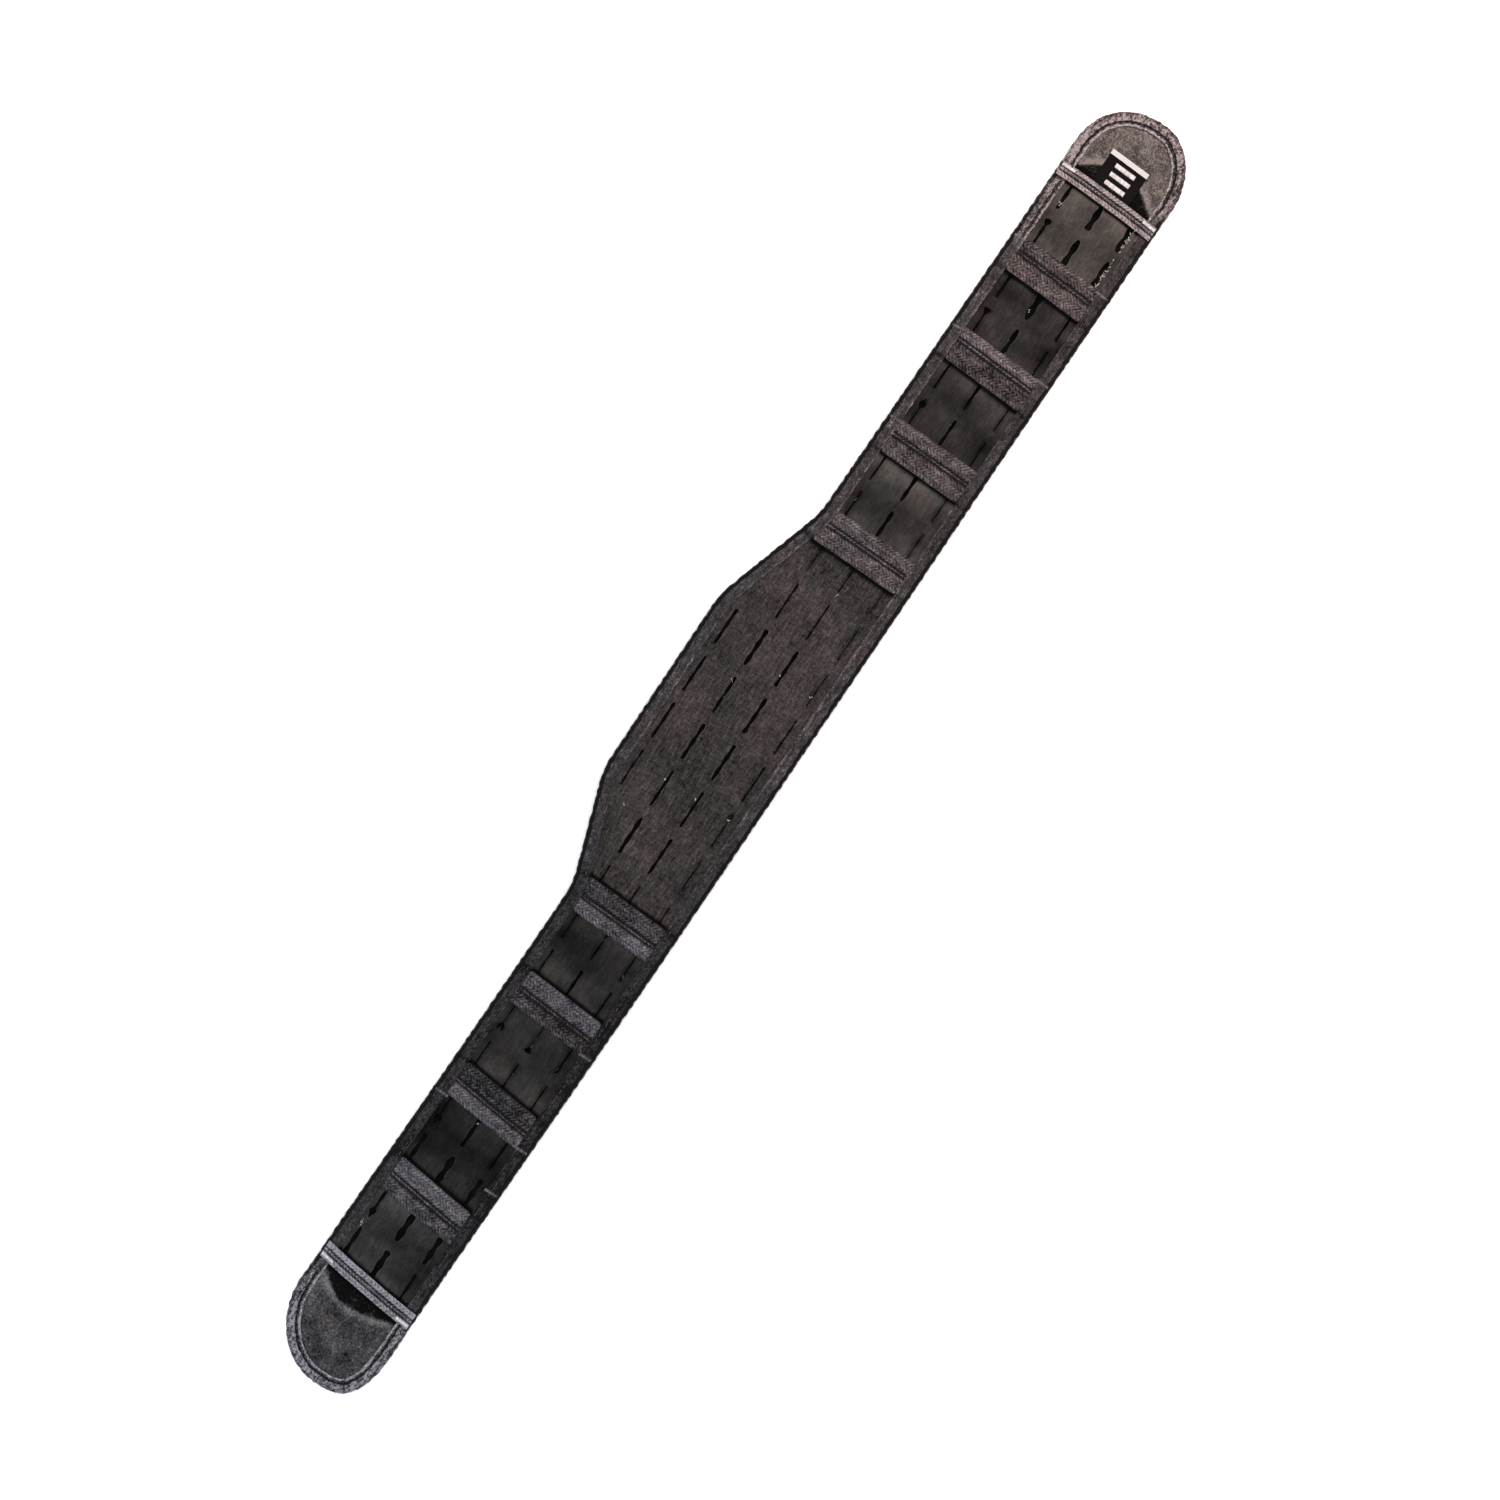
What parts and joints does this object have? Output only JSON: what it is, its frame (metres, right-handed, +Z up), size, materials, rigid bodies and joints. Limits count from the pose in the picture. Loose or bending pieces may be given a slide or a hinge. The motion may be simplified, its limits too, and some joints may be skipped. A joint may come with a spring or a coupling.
{
  "type": "padded belt",
  "caption": "Long foam-padded belt with a taller lumbar part, slotted cloth panels, webbing bands, bound edges and a flat tunnel for an inner belt.",
  "frame": {"origin": "middle of the belt's overall box, on the surface that it lies on", "axes": "+X along the belt, +Y towards the taller side of the lumbar part, +Z up out of the outer side"},
  "size_m": [1.0236, 0.1076, 0.0184],
  "materials": {
    "pad_cloth": "soft matt woven cloth over foam",
    "edge_tape": "ribbed binding tape",
    "panel_cloth": "smooth laminated cloth, cut edges",
    "lumbar_cloth": "fine woven cloth",
    "webbing": "woven webbing",
    "tag_cloth": "closely woven tag"
  },
  "bodies": {
    "root": {"base_pad": "pad_cloth", "edge_binding": "edge_tape", "lumbar_panel": "lumbar_cloth", "arm_panel_1": "panel_cloth", "arm_panel_2": "panel_cloth", "arm_panel_3": "panel_cloth", "arm_panel_4": "panel_cloth", "arm_panel_5": "panel_cloth", "arm_panel_6": "panel_cloth", "arm_panel_7": "panel_cloth", "arm_panel_8": "panel_cloth", "cross_band_1": "webbing", "cross_band_2": "webbing", "cross_band_3": "webbing", "cross_band_4": "webbing", "cross_band_5": "webbing", "cross_band_6": "webbing", "cross_band_7": "webbing", "cross_band_8": "webbing", "end_band_left": "webbing", "end_band_right": "webbing", "woven_tag": "tag_cloth"}
  },
  "joints": []
}
